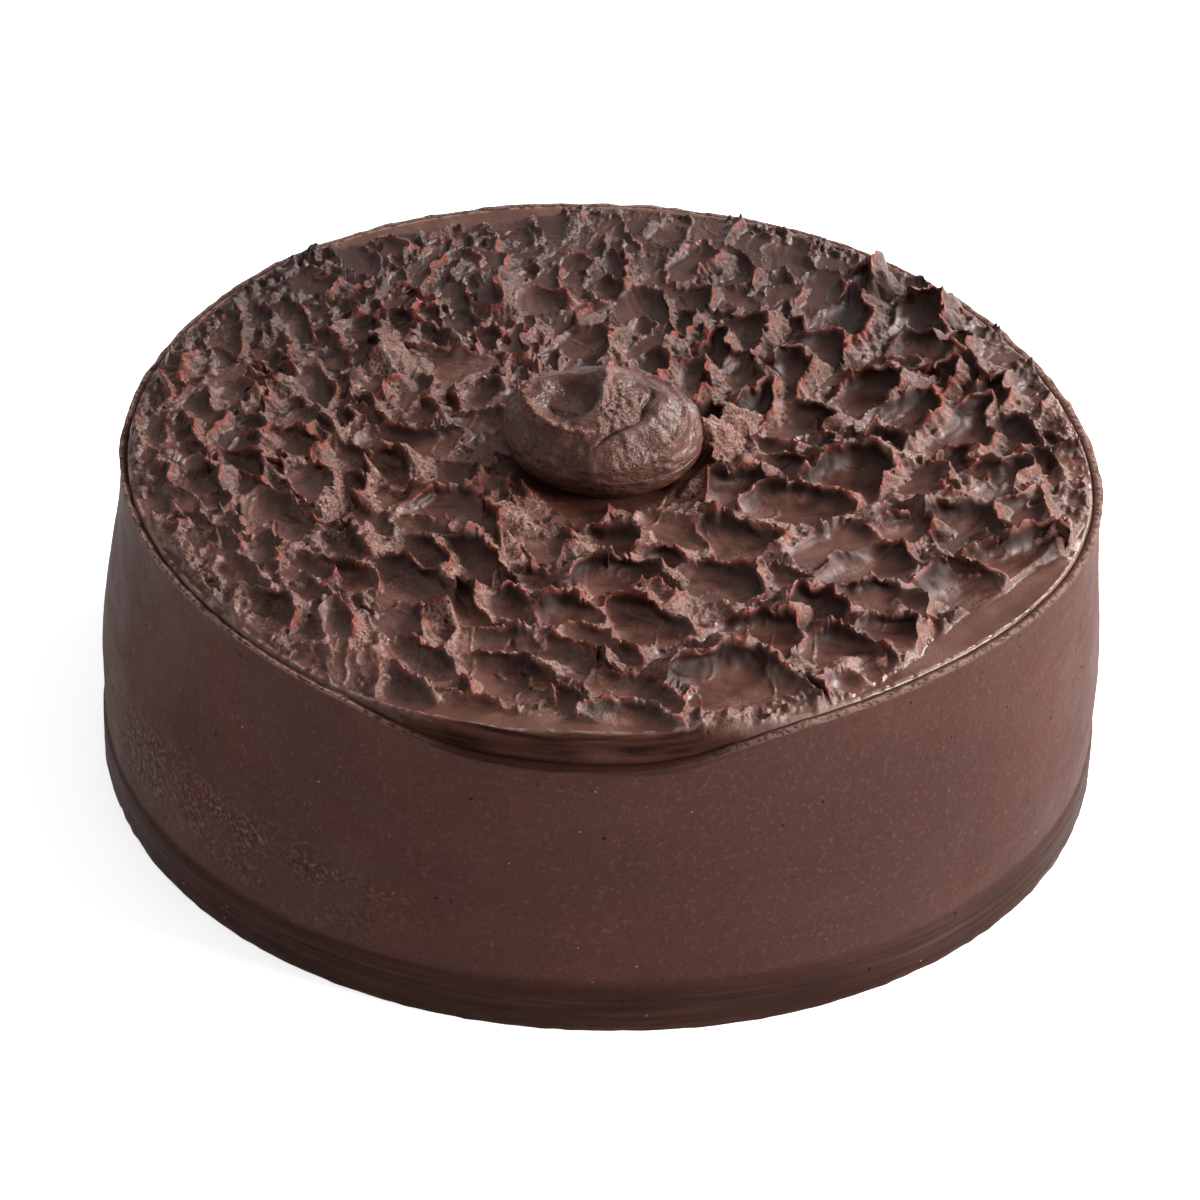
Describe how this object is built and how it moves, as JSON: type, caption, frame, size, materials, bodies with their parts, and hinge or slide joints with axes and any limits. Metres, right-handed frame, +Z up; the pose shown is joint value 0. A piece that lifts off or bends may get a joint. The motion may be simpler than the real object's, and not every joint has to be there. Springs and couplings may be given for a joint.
{
  "type": "chocolate layer cake",
  "caption": "Tall round layer cake, uncut, coated in chocolate ganache: smooth side with a thin lip, spooned peaks on top and a dollop in the middle.",
  "frame": {"origin": "middle of the flat base, on the surface that the cake stands on", "axes": "+Z up through the cake, -Y towards the front as pictured, +X to the right"},
  "size_m": [0.2409, 0.2379, 0.0995],
  "materials": {
    "side_ganache": "satin",
    "spooned_ganache": "satin",
    "dollop_ganache": "satin"
  },
  "bodies": {
    "root": {"cake_body": "side_ganache", "top_frosting": "spooned_ganache", "dollop": "dollop_ganache"}
  },
  "joints": []
}
